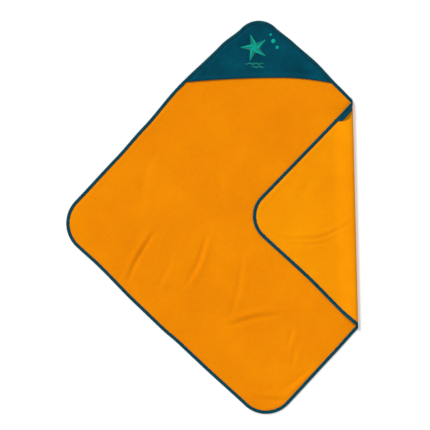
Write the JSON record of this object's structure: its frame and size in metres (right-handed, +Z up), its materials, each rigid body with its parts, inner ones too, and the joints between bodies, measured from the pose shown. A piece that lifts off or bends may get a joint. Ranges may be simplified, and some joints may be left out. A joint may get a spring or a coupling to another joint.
{
  "type": "child's hooded towel",
  "caption": "Square terry hooded towel for a child, laid flat with one corner folded over, with a corner hood, bound edge and hanger loop.",
  "frame": {"origin": "on the surface the towel lies on, under the middle of its laid outline", "axes": "+Z up, +Y towards the hood corner, +X towards the folded side"},
  "size_m": [0.9836, 1.3254, 0.0281],
  "materials": {
    "terry_orange": "looped cotton terry, matt, sheared velour on the reverse",
    "terry_teal": "cotton terry velour, matt, soft nap",
    "tape_teal": "woven cotton bias tape, matt"
  },
  "bodies": {
    "root": {"body_panel": "terry_orange", "hood_panel": "terry_teal", "edge_binding": "tape_teal", "hanger_loop": "tape_teal"}
  },
  "joints": []
}
